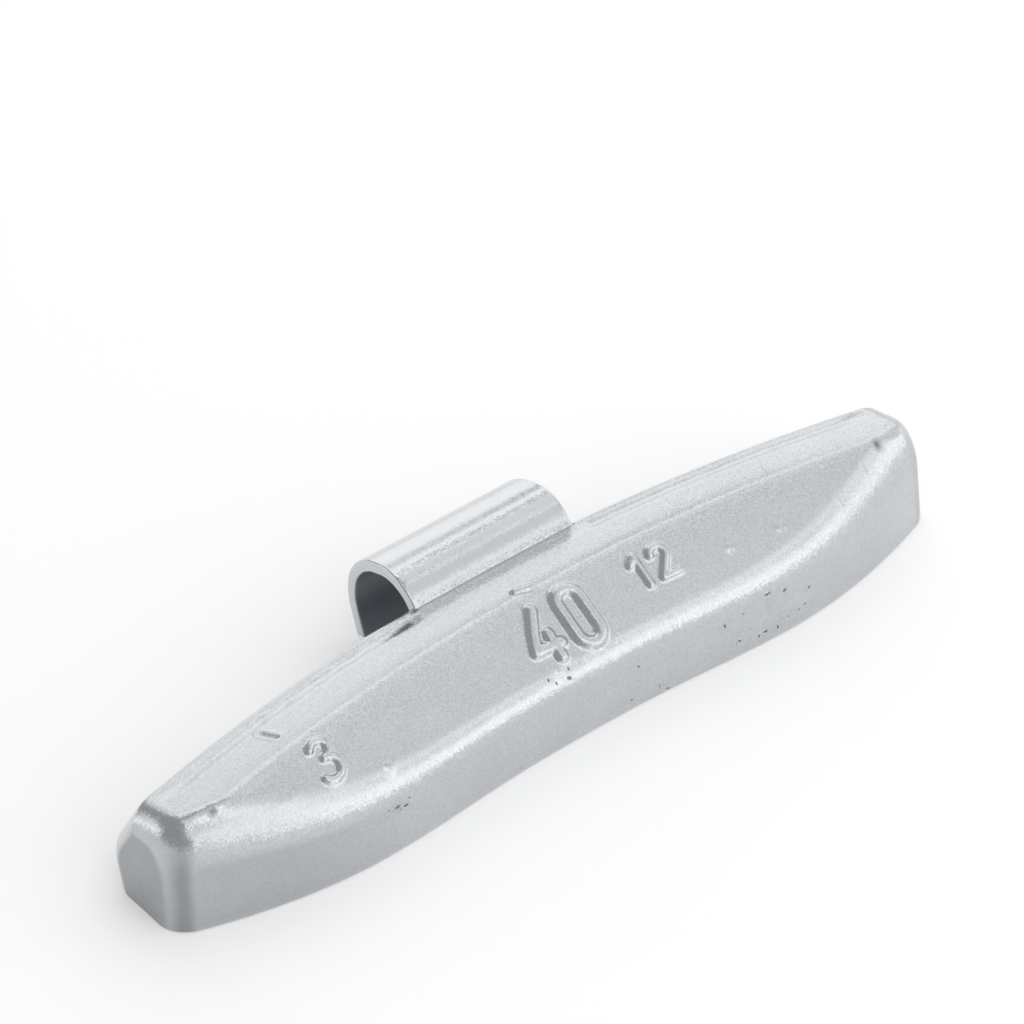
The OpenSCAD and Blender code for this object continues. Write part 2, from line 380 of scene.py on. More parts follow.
FOUR = [
    line((-0.85, 1.3), (-1.75, 2.8), (-2.35, 4.05), (-0.35, 4.2)),
    line((-0.8, 3.25), (-0.85, 5.1)),
]
ZERO = [
    np.concatenate([
        bow((2.0, 1.95), (0.93, 0.95), 180, 0),
        bow((2.0, 4.35), (0.93, 0.95), 0, -180),
        line((1.07, 1.95)),
    ])
]
TWELVE = [
    line((7.45, 1.75), (8.0, 1.25), (8.0, 3.55)),
    np.concatenate([bow((9.75, 1.8), (0.6, 0.58), 170, -30), line((9.15, 3.5), (10.45, 3.5))]),
]
THREE = [
    bow((-20.4, 1.5), (0.72, 0.66), 150, -90),
    bow((-20.4, 2.95), (0.85, 0.8), 90, -150),
]
TALLY = [line((-0.75, -0.78), (0.35, -0.42))]
print("numerals drawn with", sum(map(len, [FOUR, ZERO, TWELVE, THREE, TALLY])), "strokes")


# %% Place of every point of the skin on the face
def face_place(points):
    """Returns x, and the distance down the face from the ridge, negative on the bevel."""
    back_from_ridge = points[..., 1] + arc_drop(points[..., 0]) - RIDGE_Y
    return points[..., 0], -back_from_ridge / cosine(FACE_ANGLE)


def relief(points, strokes, height, half_width, softness):
    """Height times one less the smooth step of the distance beyond the half width."""
    gap = stroke_distance(*face_place(points), strokes)
    return height * (1 - smooth_step((gap - half_width) / softness))


# Each group of strokes has its height, half of its flat top's width and the width of its
# sides. The relief stays on the top, or strokes would show on the back as well.
on_top = np.zeros(skin.shape[:2])
on_top[:, ring_start["edge"]:ring_start["shoulder"]] = 1
raised = relief(skin, FOUR + ZERO, 0.37, 0.13, 0.52)
raised += relief(skin, TWELVE + THREE, 0.3, 0.07, 0.36)
raised += relief(skin, TALLY, 0.26, 0.12, 0.32)
raised *= on_top
print("highest relief", round(raised.max(), 2), "mm")

# %% [markdown]
# ## The marks of casting and handling
#
# Zinc that fills a die leaves small flaws: a pit where air was trapped, wrinkled flash on
# the parting ledge, a dent from its neighbours in the box. The large ones are dents in the
# skin itself. The small ones are left to the paint's bump, and the skin only says, point by
# point, how pitted each region is.


# %% Dents, wrinkles and a soft unevenness
def ripple(x, y, z, scale, seed):
    """Soft random ground between -1 and 1: six sine waves in seeded directions."""
    dice = np.random.default_rng(seed)
    total = np.zeros(x.shape)
    for _ in range(6):
        a, b, c = dice.normal(size=3) / scale
        total += np.sin(a * x + b * y + c * z + dice.uniform(0, 6.28))
    return total / 6


def bells(points, flaws):
    """The sum of the flaws. Each is a bell round its place: its depth or height times exp
    of minus the square of the distance, counted in its three half sizes."""
    total = np.zeros(points.shape[:-1])
    for place, size, depth in flaws:
        total += depth * np.exp(-(((points - place) / size) ** 2).sum(-1))
    return total


sx, sy, sz = skin[..., 0], skin[..., 1], skin[..., 2]
part_of_ring = np.arange(skin.shape[1])


def ring_band(first, last, fade=3):
    """One on the ring between two parts, with soft ends a few points wide."""
    start, end = ring_start[first], ring_start[last]
    rise = smooth_step((part_of_ring - start + fade) / fade)
    return (rise * smooth_step((end + fade - part_of_ring) / fade))[None, :]


# The wall is lumpier than the face, and the ledge carries flash that wrinkled on its left.
wall_band = ring_band("wall", "edge")
ledge_y = sy + arc_drop(sx)
on_ledge = np.exp(-(((ledge_y - 4.2) / 0.7) ** 2)) * on_top
wrinkled = smooth_step((sx + 24) / 4) * smooth_step((-8.5 - sx) / 2)
folds = ripple(sx * 1.6, ledge_y * 4.0, 0 * sz, 0.5, 11)
uneven = 0.05 * folds * on_ledge * (0.25 + wrinkled)
uneven += 0.014 * ripple(sx, sy, sz, 1.4, 5) * (0.35 + wall_band)
uneven += 0.009 * ripple(sx, sy, sz, 0.32, 8) * ring_band("edge", "top")
lumpy = bells(skin, [((16.8, -7.0, 2.8), (4.5, 2.5, 2.4), 1.0)]) * wall_band
uneven += 0.06 * ripple(sx, sy, sz * 1.6, 0.55, 9) * lumpy
uneven += 0.02 * ripple(sx, sy, sz, 4.5, 6) * (0.2 + wall_band)
print("wrinkles up to", round(uneven.max(), 2), "mm high")

# %% The larger flaws, each with its place, its three half sizes and its depth or height
DENTS = [
    ((-29.45, -3.5, 8.72), (0.3, 0.42, 0.5), 0.16),
    ((28.9, -3.45, 8.67), (0.3, 0.4, 0.5), 0.15),
    ((-16.8, -6.9, 3.8), (0.5, 0.5, 0.22), 0.05),
    ((23.95, -5.4, 7.1), (0.12, 0.5, 0.4), 0.05),
    ((26.95, -4.4, 8.0), (0.12, 0.5, 0.4), 0.05),
]
BUMPS = [
    ((-16.6, -5.75, 6.3), (0.35, 0.6, 0.3), 0.12),
    ((-24.3, -5.0, 7.4), (0.8, 0.5, 0.3), 0.06),
    ((-1.7, -5.4, 6.0), (0.3, 0.5, 0.4), 0.09),
    ((14.7, -4.05, 7.15), (0.3, 0.4, 0.25), 0.08),
    ((18.85, -4.65, 7.1), (0.35, 0.3, 0.25), 0.07),
]
NOTCHES = [
    ((CLIP_SHIFT - 7.05, 4.4, 7.6), (0.14, 0.16, 0.4), 0.12),
    ((CLIP_SHIFT + 7.05, 4.5, 7.55), (0.14, 0.16, 0.4), 0.12),
]
hollow, bumps = bells(skin, DENTS + NOTCHES), bells(skin, BUMPS)

# A scratch on the bevel has a thin scar beside it and a little ridge of pushed metal.
SCRATCH_W = 0.12
scratch = stroke_distance(sx, ledge_y, [line((-22.3, 2.65), (-21.9, 1.3))])
scar = stroke_distance(sx, ledge_y, [line((-22.0, 2.6), (-21.65, 1.4))])
hollow += on_top * 0.09 * np.exp(-((scratch / SCRATCH_W) ** 2))
hollow += on_top * 0.02 * np.exp(-((scar / SCRATCH_W) ** 2))
bumps += on_top * 0.035 * np.exp(-(((scratch - 3 * SCRATCH_W) / SCRATCH_W) ** 2))

# The zinc doesn't quite reach the strip that comes out of it, which leaves a thin gap, and
# the notches above lie at its two ends.
at_strip = smooth_step((CLIP_W / 2 + 0.15 - np.abs(sx - CLIP_SHIFT)) / 0.3)
seam = np.exp(-(((sy - 4.42) / 0.09) ** 2)) * at_strip * on_top
hollow += 0.02 * seam
print("deepest dent", round(hollow.max(), 2), "mm, highest bump", round(bumps.max(), 2), "mm")

# %% [markdown]
# Where the flaws are many and small, a number at each point says how pitted the metal is,
# and another how much painted shade darkens its hollows. A third is painted shade as well:
# it darkens the corners between the near wall and the ends, the tops of the ends, the end
# faces and the left of the near wall. The paint's material reads all three.

# %% Pitted regions, painted shade and the moved skin
PITTED = [
    ((16.2, -7.1, 1.6), (3.0, 2.0, 1.2), 0.55),
    ((-17.0, -6.9, 3.9), (1.1, 1.0, 0.45), 0.8),
    ((-2.0, -5.9, 5.7), (1.2, 0.9, 0.5), 0.6),
    ((5.5, -6.5, 0.8), (2.2, 1.0, 0.7), 0.5),
    ((-7.6, -6.4, 4.0), (1.2, 1.0, 0.7), 0.3),
    ((24.0, -5.6, 4.5), (2.5, 2.0, 1.6), 0.2),
]
pitted = bells(skin, PITTED) + 0.03 * wall_band * (station_inset < 0.1)[:, None]
pitted = np.clip(pitted, 0, 1)
# Painted shade: the dents, notches, scratch, seam and the troughs of the wrinkled flash are
# darkened in colour by their depth.
hollow_shade = np.clip(hollow / 0.12, 0, 1) ** 1.5 * 0.8 + 0.1 * seam
hollow_shade += 0.5 * np.clip(-folds - 0.25, 0, 1) * on_ledge * wrinkled
hollow_shade = np.clip(hollow_shade, 0, 1)

# Painted shade darkens each corner in a thin band whose middle is CORNER_IN from the end.
# How far the section has turned in runs from 0 to 1 round the end, and its powers keep the
# rest near the end. The tops of the ends, the end faces and the left of the near wall get
# painted shade as well.
CORNER_IN, CORNER_W = 0.8, 1.1
turned_in = np.clip(station_inset / END_R, 0, 1)[:, None]
top_corner = np.sin(np.pi * turned_in**0.45) * 0.3 * ring_band("edge", "shoulder")
upright = 1 - smooth_step(np.abs(HALF_LEN - CORNER_IN - np.abs(station_x)) / CORNER_W)[:, None]
at_wall = np.maximum(1.4 * upright, 1.1 * turned_in**2.5) * ring_band("foot", "edge", 12)
end_face = 1.1 * turned_in**9
left_wall = 0.5 * wall_band * smooth_step((-14 - sx) / 12)
painted_shade = np.maximum.reduce(np.broadcast_arrays(top_corner, at_wall, end_face, left_wall))


def ring_normals(points):
    """Unit normals that point out: the cross product of the skin's steps along the bar
    and round it."""
    along_bar = np.gradient(points, axis=0)
    padded = np.concatenate([points[:, -1:], points, points[:, :1]], 1)
    around = padded[:, 2:] - padded[:, :-2]
    normal = np.cross(along_bar, around)
    return normal / np.maximum(np.linalg.norm(normal, axis=-1, keepdims=True), 1e-9)


# The flaws fade out towards the flat end faces, whose rims take their neighbours' normals.
# Behind the clip the zinc is cast flat, as a seat.
outward = ring_normals(skin)
outward[0], outward[-1] = outward[1], outward[-2]
rough_skin = (raised + uneven + bumps - hollow) * (1 - turned_in**4)
moved = skin + outward * rough_skin[..., None]
behind_clip = np.abs(moved[..., 0] - CLIP_SHIFT) < CLIP_W / 2 + SEAT_MARGIN
seat_y = HALF_W + SEAT_OUT
moved[..., 1] = np.where(behind_clip, np.minimum(moved[..., 1], seat_y), moved[..., 1])
moved[..., 2] = np.maximum(moved[..., 2], 0)
print("skin reaches z", round(moved[..., 2].max(), 2), "and y", round(moved[..., 1].max(), 2), "mm")


# %% [markdown]
# ## From arrays to a mesh
#
# A grid whose columns close into a ring becomes a tube of four-sided faces, and one flat
# face closes each end. The corners of all faces come from one shifted index array.


# %% Make a closed mesh from rings of points
def closed_tube(name, rings, layers):
    """Joins ring after ring: face (i, j) has corners (i, j), (i, j + 1), (i + 1, j + 1) and
    (i + 1, j). Layers are numbers for each point, kept as attributes."""
    count, size = rings.shape[:2]
    index = np.arange(count * size).reshape(count, size)
    turned = np.roll(index, -1, axis=1)
    quads = np.stack([index[:-1], index[1:], turned[1:], turned[:-1]], -1).reshape(-1, 4)
    mesh = bpy.data.meshes.new(name)
    faces = quads.tolist() + [index[0].tolist(), index[-1][::-1].tolist()]
    mesh.from_pydata((rings.reshape(-1, 3) * MM).tolist(), [], faces)
    for layer, values in layers.items():
        attribute = mesh.attributes.new(layer, "FLOAT", "POINT")
        attribute.data.foreach_set("value", values.astype(np.float32).ravel())
    smooth = np.ones(len(mesh.polygons), bool)
    smooth[-2:] = False
    mesh.polygons.foreach_set("use_smooth", smooth)
    mesh.validate()
    piece = bpy.data.objects.new(name, mesh)
    bpy.context.scene.collection.objects.link(piece)
    volume = mesh_volume(mesh) / MM**3
    print(name, "has", len(mesh.polygons), "faces and", round(volume), "cubic millimetres")
    return piece


def mesh_volume(mesh):
    """A sixth of the sum of each triangle's triple product, positive if faces point out."""
    mesh.calc_loop_triangles()
    corners = np.empty(len(mesh.loop_triangles) * 3, np.int32)
    mesh.loop_triangles.foreach_get("vertices", corners)
    places = np.empty(len(mesh.vertices) * 3)
    mesh.vertices.foreach_get("co", places)
    a, b, c = np.moveaxis(places.reshape(-1, 3)[corners.reshape(-1, 3)], 1, 0)
    return float((a * np.cross(b, c)).sum() / 6)


layers = {"pitted": pitted, "hollow_shade": hollow_shade, "painted_shade": painted_shade}
cast_bar = closed_tube("cast_bar", moved, layers)

# %% [markdown]
# ## The spring clip
#
# The clip is one strip of spring steel: a root that the zinc was cast round, a bend, an
# arch that goes over the lip of the rim, and a free leg that leans back in. Its middle line
# is made of arcs and straight runs, and a rounded rectangle is carried along it, which
# gives an even thickness without a modifier. Its edges are a little round, because the
# paint softens what the shears left sharp, and the leg's corners taper towards the tip.

# %% Sizes of the strip, shared with the CAD model
ARCH_R, ARCH_H, ARCH_Y = 3.95, RIDGE_H - 4.9, 7.5
CROWN_SLOPE, CROWN_LEN = 21.5, 0.7
ROOT_BEND_R, ROOT_LEAN, ROOT_H = 2.65, 27.5, 1.9
LEG_LEAN, TIP_H = 20.0, 0.4
EDGE_R, TIP_TAPER, STRIP_STEP, END_ROUND = 0.16, 0.3, 0.12, 0.12


# %% The middle line of the strip
def strip_path():
    """Points of the middle line in y and z, with the heading at each, from root to tip.
    Arcs are a centre plus a radius times a step, and straight runs join them."""
    mid_r, bend_r = ARCH_R + CLIP_T / 2, ROOT_BEND_R + CLIP_T / 2
    centre = np.array([ARCH_Y, ARCH_H])
    arch_start = centre + mid_r * along(90 - CROWN_SLOPE)
    arch_end = centre + mid_r * along(-LEG_LEAN)
    leg_heading, root_heading = -90 - LEG_LEAN, 90 - ROOT_LEAN
    tip = arch_end + (arch_end[1] - TIP_H) / cosine(LEG_LEAN) * along(leg_heading)
    bend_centre = arch_start - CROWN_LEN * along(-CROWN_SLOPE) + bend_r * inward(-CROWN_SLOPE)
    root_top = bend_centre - bend_r * inward(root_heading)
    root_end = root_top - (root_top[1] - ROOT_H) / sine(root_heading) * along(root_heading)
    runs = [
        straight_run(root_end, root_top, root_heading),
        arc_run(bend_centre, bend_r, root_heading, -CROWN_SLOPE),
        straight_run(arch_start - CROWN_LEN * along(-CROWN_SLOPE), arch_start, -CROWN_SLOPE),
        arc_run(centre, mid_r, -CROWN_SLOPE, leg_heading),
        straight_run(arch_end, tip, leg_heading),
    ]
    path = np.concatenate([points for points, _ in runs])
    headings = np.concatenate([h for _, h in runs])
    fresh = np.r_[True, np.linalg.norm(np.diff(path, axis=0), axis=1) > 1e-6]
    return path[fresh], headings[fresh]


def straight_run(start, end, heading):
    """Even points from start to end, all with one heading."""
    steps = max(2, int(np.linalg.norm(end - start) / STRIP_STEP))
    share = np.linspace(0, 1, steps)[:, None]
    return start + (end - start) * share, np.full(steps, heading)


def arc_run(centre, radius, start, end):
    """Points of an arc that turns right: the centre less the radius times inward."""
    heading = np.linspace(start, end, int(radius * np.radians(start - end) / STRIP_STEP) + 2)
    return centre - radius * inward(heading), heading


def strip_outline():
    """A rounded rectangle round the strip: across it and off its middle, corner by corner."""
    flat = np.linspace(-1, 1, 60)[1:-1] * (CLIP_W / 2 - EDGE_R)
    side = np.linspace(-1, 1, 5)[1:-1] * (CLIP_T / 2 - EDGE_R)
    turn = np.linspace(0, 90, 5)
    half = np.array([CLIP_W / 2 - EDGE_R, CLIP_T / 2 - EDGE_R])
    corners = [
        half * (1, 1) + EDGE_R * np.stack([sine(turn), cosine(turn)], -1),
        half * (1, -1) + EDGE_R * np.stack([cosine(turn), -sine(turn)], -1),
        half * (-1, -1) + EDGE_R * np.stack([-sine(turn), -cosine(turn)], -1),
        half * (-1, 1) + EDGE_R * np.stack([-cosine(turn), sine(turn)], -1),
    ]
    top, bottom = np.full_like(flat, CLIP_T / 2), np.full_like(flat, -CLIP_T / 2)
    right, left = np.full_like(side, CLIP_W / 2), np.full_like(side, -CLIP_W / 2)
    return np.concatenate([
        np.stack([flat, top], -1), corners[0], np.stack([right, -side], -1), corners[1],
        np.stack([-flat, bottom], -1), corners[2], np.stack([left, side], -1), corners[3],
    ])


# %% Carry the outline along the path
# Both ends of the strip round off over END_ROUND, where the outline shrinks by as much.
path, headings = strip_path()
outline = strip_outline()
run_length = np.r_[0, np.cumsum(np.linalg.norm(np.diff(path, axis=0), axis=1))]
from_end = np.minimum(run_length, run_length[-1] - run_length)
thinner = END_ROUND - np.minimum(from_end, END_ROUND)
sheared = TIP_TAPER * smooth_step((run_length / run_length[-1] - 0.35) / 0.5)
across = outline[None, :, 0] * (1 - (thinner + sheared)[:, None] / (CLIP_W / 2))
off = outline[None, :, 1] - np.sign(outline[None, :, 1]) * thinner[:, None] * 0.8
placed = path[:, None] - off[..., None] * inward(headings)[:, None]
strip = np.stack([across + CLIP_SHIFT, placed[..., 0], placed[..., 1]], -1)
inner_face = np.clip(-off / (CLIP_T / 2), 0, 1) * np.ones_like(across)
spring_strip = closed_tube("spring_strip", strip[:, ::-1], {"inner": inner_face[:, ::-1]})
print("strip of", round(float(run_length[-1]), 1), "mm, cut", CLIP_W, "mm wide")

# %% [markdown]
# ## Shader maths that reads like maths
#
# A material is a tree of nodes, and a tree written node by node is hard to read. The small
# class below wraps one output socket. Its operators add Math nodes, so a mask can be
# written as 1 - pit. Colours and directions have no operators, because a Math node would
# turn them grey: they go through Mix and Vector Math, which the one method "add" makes.


# %% One class for sockets and one for the material they live in
class Wire:
    """The output of a node. Plus, minus, times and abs add Math nodes behind it."""

    def __init__(self, finish, socket):
        self.finish, self.socket = finish, socket

    def output(self, name):
        return Wire(self.finish, self.socket.node.outputs[name])

    def maths(self, operation, first, second):
        return self.finish.add("ShaderNodeMath", {"operation": operation}, {0: first, 1: second})

    def __add__(self, other):
        return self.maths("ADD", self, other)

    __radd__ = __add__

    def __sub__(self, other):
        return self.maths("SUBTRACT", self, other)

    def __rsub__(self, other):
        return self.maths("SUBTRACT", other, self)

    def __mul__(self, other):
        return self.maths("MULTIPLY", self, other)

    __rmul__ = __mul__

    def __abs__(self):
        return self.maths("ABSOLUTE", self, 0.0)

    def least(self, other):
        return self.maths("MINIMUM", self, other)

    def between(self, low, high):
        """Goes from 0 at the low value to 1 at the high one, and no further."""
        limits = {"From Min": low, "From Max": high}
        return self.finish.add("ShaderNodeMapRange", {"clamp": True}, {"Value": self, **limits})


class Finish:
    """A material, and the one method that adds any node to it."""

    def __init__(self, name):
        self.material = bpy.data.materials.new(name)
        self.material.use_nodes = True
        self.tree = self.material.node_tree
        self.tree.nodes.clear()

    def add(self, kind, settings=None, sockets=None):
        """Adds a node, sets its settings, then fills its sockets with values or wires.
        Returns a wire on its first output that is in use."""
        node = self.tree.nodes.new(kind)
        for key, value in (settings or {}).items():
            setattr(node, key, value)
        for key, value in (sockets or {}).items():
            if isinstance(value, Wire):
                self.tree.links.new(value.socket, node.inputs[key])
            else:
                node.inputs[key].default_value = value
        return Wire(self, next(o for o in node.outputs if o.enabled)) if node.outputs else node

    def mix(self, share, first, second):
        """A Mix node for colours: the first at 0, the second at 1. A colour that is written
        as three numbers gets its alpha of 1 here."""
        first, second = [c if isinstance(c, Wire) else (*c, 1) for c in (first, second)]
        sockets = {"Factor": share, 6: first, 7: second}
        return self.add("ShaderNodeMix", {"data_type": "RGBA"}, sockets)

    def attribute(self, name):
        """The number that the skin carries at each point under this name."""
        return self.add("ShaderNodeAttribute", {"attribute_name": name}).output("Fac")

    def vector(self, operation, first, second=None, scale=None):
        """A Vector Math node, with a second vector or a scale where it takes one."""
        sockets = {0: first}
        if second is not None:
            sockets[1] = second
        if scale is not None:
            sockets["Scale"] = scale
        return self.add("ShaderNodeVectorMath", {"operation": operation}, sockets)


# %% [markdown]
# ## Silver paint with flakes
#
# Silver paint is a clear binder with small aluminium flakes in it. Each flake lies nearly
# flat, so the paint shines like a soft mirror, and those that tilt sparkle. A Voronoi
# texture gives each small cell its own random colour, and that colour, taken as a
# direction, tilts the normal of its cell. A sharper gloss lies over it, because the binder
# dries level on top of the flakes: the clear coat keeps the smooth normal of the piece.
# Noise texture alone would give a cloudy grey without the sparkle, and a photograph of
# paint would repeat. The bump adds the soft waves of the wet paint, the grain of the
# casting and the small pits that the paint didn't fill.

# %% The parts that both paints share
FLAKE, WAVE, GRAIN = 0.085 * MM, 0.9 * MM, 0.22 * MM
BRIGHT_SILVER = (0.62, 0.632, 0.648)
STRIP_SILVER = (0.5, 0.512, 0.528)
CAST_SILVER = (0.46, 0.472, 0.488)
# The next three are colours of painted shade: at the corners and ends, in the arch of the clip, and
# in the hollows.
SHADED_SILVER = (0.3, 0.308, 0.322)
ARCH_SHADE_GREY = (0.26, 0.27, 0.31)
HOLLOW_SHADE_GREY = (0.085, 0.085, 0.09)
CLEAR_COAT = {"Coat Weight": 0.4, "Coat Roughness": 0.08}


def paint_ground(finish):
    """Object coordinates, the flake pattern and the normal that the flakes tilt."""
    place = finish.add("ShaderNodeTexCoord").output("Object")
    flakes = finish.add("ShaderNodeTexVoronoi", None, {"Vector": place, "Scale": 1 / FLAKE})
    flake = flakes.output("Color")
    surface = finish.add("ShaderNodeNewGeometry").output("Normal")
    lean = finish.vector("SUBTRACT", flake, (0.5, 0.5, 0.5))
    return place, flake, surface, lean


def flake_normal(finish, surface, lean, tilt):
    """The surface's normal plus a share of each flake's own direction, made unit long."""
    tilted = finish.vector("ADD", surface, finish.vector("SCALE", lean, scale=tilt))
    return finish.vector("NORMALIZE", tilted)


def noise(finish, place, size, detail=2.0):
    """Noise between 0 and 1 whose spots are about as large as the size, in metres."""
    sockets = {"Vector": place, "Scale": 1 / size, "Detail": detail}
    return finish.add("ShaderNodeTexNoise", None, sockets)


def dried_paint(finish, colour, rough, height, normal):
    """The shader of both paints: nearly all metal, with a bump of the given height in
    millimetres over the flakes' normal, under the clear coat."""
    relief_sockets = {"Height": height, "Distance": MM, "Strength": 1.0, "Normal": normal}
    bump = finish.add("ShaderNodeBump", None, relief_sockets)
    sockets = {"Base Color": colour, "Roughness": rough, "Normal": bump, "Metallic": 0.9}
    shine = finish.add("ShaderNodeBsdfPrincipled", None, sockets | CLEAR_COAT)
    finish.add("ShaderNodeOutputMaterial", None, {"Surface": shine})
    return finish.material


# %% [markdown]
# ## Pits
#
# Trapped air leaves pits of two kinds. The larger ones are few and each has its place on
# the near wall, so the distance to the nearest of them, counted in its half sizes, shapes
# all of them at once. The smaller ones are many: a Voronoi texture deals one to each cell,
# and a cell keeps its pit only where its random number is below the skin's "pitted". Both
# patterns are pushed about by noise first, because no pit is round.

# %% The larger pits, each with its x, its height and its two half sizes
PITS = [
    (15.8, 4.24, 0.26, 0.11), (17.3, 3.85, 0.12, 0.1), (12.03, 3.32, 0.1, 0.13),
    (16.6, 0.94, 0.11, 0.1), (15.5, 1.15, 0.16, 0.09), (14.9, 1.0, 0.1, 0.16),
    (13.6, 3.6, 0.07, 0.06), (19.6, 2.9, 0.09, 0.07), (-16.9, 3.85, 0.2, 0.1),
    (-16.2, 3.62, 0.24, 0.08), (-15.9, 4.05, 0.08, 0.07), (4.58, 3.47, 0.07, 0.07),
    (7.03, 0.35, 0.18, 0.1), (3.84, 0.98, 0.12, 0.08), (-2.7, 5.83, 0.1, 0.09),
    (-1.14, 5.4, 0.12, 0.08), (-2.2, 5.6, 0.07, 0.1),
]


def nearest_pit(finish, place):
    """Distance to the nearest large pit: the length of the offset over the half sizes, for
    each pit in turn, and the smallest of them."""
    nearest = None
    for x, z, half_x, half_z in PITS:
        offset = finish.vector("SUBTRACT", place, (x * MM, 0, z * MM))
        over = finish.vector("MULTIPLY", offset, (1 / (half_x * MM), 0, 1 / (half_z * MM)))
        gap = finish.vector("LENGTH", over)
        nearest = gap if nearest is None else nearest.least(gap)
    return nearest


def pits_and_rims(finish, place, pitted):
    """How deep inside a pit a point is, and how near to the raised rim of a large pit, which
    peaks at one and a half times the pit's half size."""
    swirl = noise(finish, place, 0.45 * MM, 1.0).output("Color")
    pushed = finish.vector("SUBTRACT", swirl, (0.5, 0.5, 0.5))
    bent = finish.vector("ADD", place, finish.vector("SCALE", pushed, scale=0.7 * MM))
    cells = finish.add("ShaderNodeTexVoronoi", None, {"Vector": bent, "Scale": 1 / (0.6 * MM)})
    lot = finish.add("ShaderNodeSeparateColor", None, {0: cells.output("Color")})
    size = lot * lot * 0.26 + 0.07
    small = 1 - (cells.output("Distance") - size).between(-0.04, 0.04)
    small = small * (pitted * 1.15 - lot.output("Green")).between(0.0, 0.1)

    ragged = finish.vector("ADD", place, finish.vector("SCALE", pushed, scale=0.35 * MM))
    around = nearest_pit(finish, ragged)
    y = finish.add("ShaderNodeSeparateXYZ", None, {0: place}).output("Y")
    near_side = y.between(-3 * MM, -4 * MM)
    large = (1 - around.between(0.75, 1.1)) * near_side
    rim = (1 - abs(around - 1.5).between(0.0, 0.5)) * near_side
    return small + large, rim


# %% Paint on the cast bar
def cast_paint():
    """Silver paint over cast zinc. Its tone follows broad noise, the flakes and, where the
    skin is pitted, a cloudy one. Painted shade darkens it at the corners, the end faces and
    the left of the near wall, and most in the pits and hollows."""
    finish = Finish("silver_cast_paint")
    place, flake, surface, lean = paint_ground(finish)
    pitted = finish.attribute("pitted")
    hollow_shade = finish.attribute("hollow_shade")
    painted_shade = finish.attribute("painted_shade")
    pit, rim = pits_and_rims(finish, place, pitted)
    broad = noise(finish, place, 7 * MM)
    cloud = noise(finish, place, 1.3 * MM, 3.0)
    sparkle = finish.add("ShaderNodeSeparateColor", None, {0: flake}).output("Blue")
    shade = (broad - 0.5) * 0.12 + (sparkle - 0.5) * 0.26 + 0.5
    shade = shade + (cloud - 0.5) * (pitted * 0.6 + 0.08)
    silver = finish.mix(shade.between(0.3, 0.7), CAST_SILVER, BRIGHT_SILVER)
    # Painted shade at the corners, the ends and the left of the near wall.
    shade_share = (painted_shade * 0.75 + (cloud - 0.5) * 0.3 * painted_shade).between(0, 1)
    silver = finish.mix(shade_share, silver, SHADED_SILVER)
    # Painted shade in the pits, dents, notches, scratch, seam and wrinkles.
    dark = pit * 0.8 + hollow_shade - pit * hollow_shade
    colour = finish.mix(dark.between(0, 1), silver, HOLLOW_SHADE_GREY)
    rough = 0.23 + (cloud - 0.5) * 0.08 + dark * 0.3
    waves = noise(finish, place, WAVE, 1.0)
    grain = noise(finish, place, GRAIN, 3.0)
    height = waves * 0.004 + grain * (0.0012 + pitted * 0.005) - pit * 0.07 + rim * 0.012
    normal = flake_normal(finish, surface, lean, 0.12)
    return dried_paint(finish, colour, rough, height, normal)


# %% Paint on the spring strip
def strip_paint():
    """The same paint on rolled steel: smoother, with fine lines along the bend, and darkened
    by painted shade in the hollow of the arch."""
    finish = Finish("silver_strip_paint")
    place, flake, surface, lean = paint_ground(finish)
    inner = finish.attribute("inner")
    broad = noise(finish, place, 6 * MM)
    cloud = noise(finish, place, 0.8 * MM, 3.0)
    sparkle = finish.add("ShaderNodeSeparateColor", None, {0: flake}).output("Blue")
    shade = (broad - 0.5) * 0.08 + (cloud - 0.5) * 0.05 + (sparkle - 0.5) * 0.1 + 0.5
    silver = finish.mix(shade.between(0.3, 0.7), STRIP_SILVER, BRIGHT_SILVER)
    # Painted shade in the hollow of the arch, on the strip's inner face, which is also made
    # rougher.
    arch_shade = (inner + (cloud - 0.5) * 0.25).between(0.75, 0.95)
    colour = finish.mix(arch_shade, silver, ARCH_SHADE_GREY)
    rough = 0.16 + (cloud - 0.5) * 0.05 + arch_shade * 0.35
    stretched = finish.add("ShaderNodeMapping", None, {"Vector": place, "Scale": (0.08, 1, 1)})
    lines = noise(finish, stretched, 0.35 * MM, 2.0)
    waves = noise(finish, place, WAVE, 1.0)
    height = lines * 0.0003 + waves * 0.0005
    normal = flake_normal(finish, surface, lean, 0.09)
    return dried_paint(finish, colour, rough, height, normal)


cast_bar.data.materials.append(cast_paint())
spring_strip.data.materials.append(strip_paint())
for piece, node, slot in [
    (cast_bar, "weight_body", "silver_cast"),
    (spring_strip, "spring_clip", "silver_strip"),
]:
    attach(piece, "root")
    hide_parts(node)
    print(piece.name, "stands for", node, "in", piece.data.materials[0].name)

# %% [markdown]
# ## Floor and light
#
# Silver shows what is round it, so its look is made by what it mirrors. The part lies on a
# plain white floor, in an even room that is darker than the floor. Rows of soft panels
# stand round it on a half sphere, like the walls of a light tent, and each one that is
# mirrored makes a band of light. A few large lamps would light it as well, but they would
# leave the bevel, the face and the round edge equally bright. With rows of panels, each
# face is as bright as the panels that it mirrors.


# %% The floor
FLOOR_GLOW, FLOOR_HALF = 0.22, 1.5


